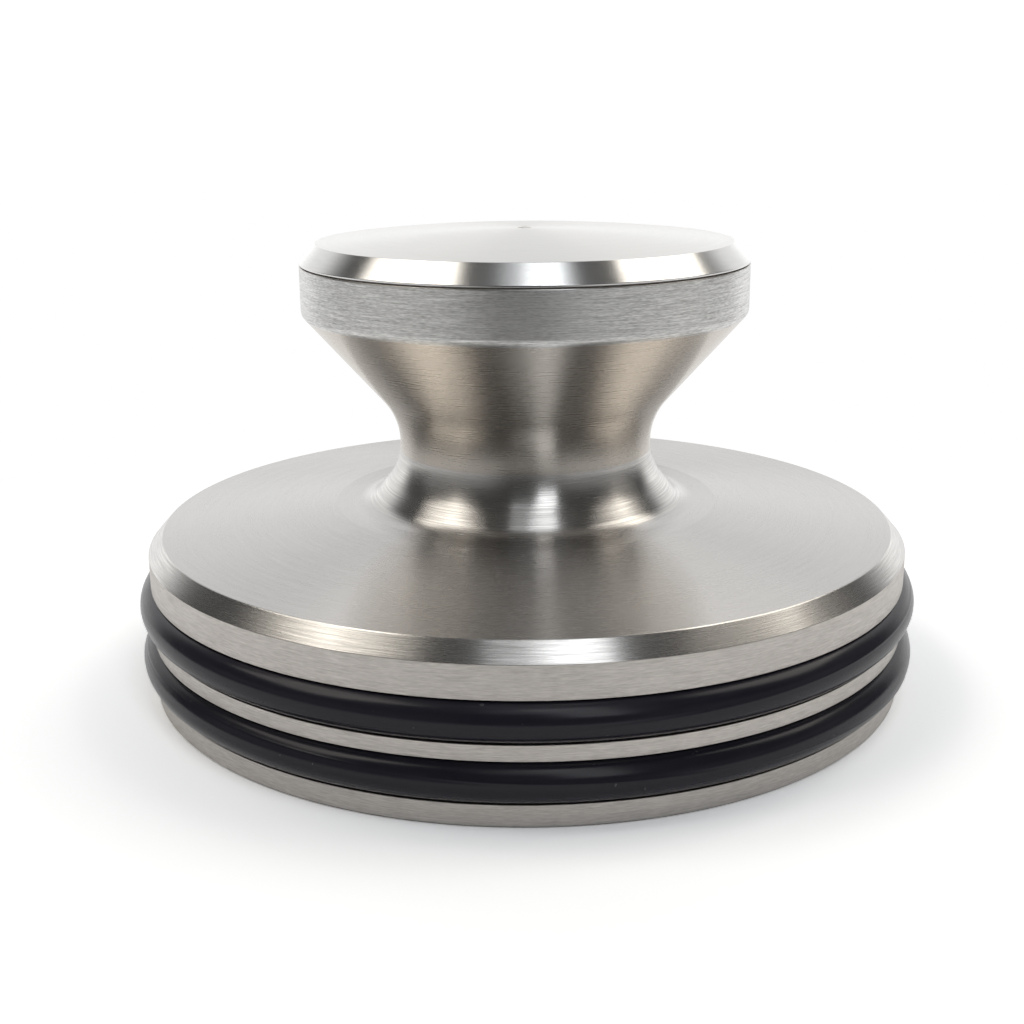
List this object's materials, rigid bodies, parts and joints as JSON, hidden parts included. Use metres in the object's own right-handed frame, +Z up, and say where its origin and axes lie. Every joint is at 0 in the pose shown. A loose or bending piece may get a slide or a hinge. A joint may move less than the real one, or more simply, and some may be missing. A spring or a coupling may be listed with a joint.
{
  "type": "record weight clamp",
  "caption": "Turned steel record weight with a wide base ringed in rubber, a waisted neck and a capped knob; it sits over a turntable spindle and presses the record flat.",
  "frame": {"origin": "centre of the flat foot, on the axis of the turning", "axes": "+Z up along the axis of the turning, from the foot to the knob"},
  "size_m": [0.0784, 0.0784, 0.0448],
  "materials": {
    "turned_steel": "turned and emery-brushed satin",
    "cap_steel": "fine satin top with a polished edge",
    "ring_rubber": "satin black"
  },
  "bodies": {
    "root": {"body": "turned_steel", "knob_cap": "cap_steel", "lower_ring": "ring_rubber", "upper_ring": "ring_rubber"}
  },
  "joints": []
}
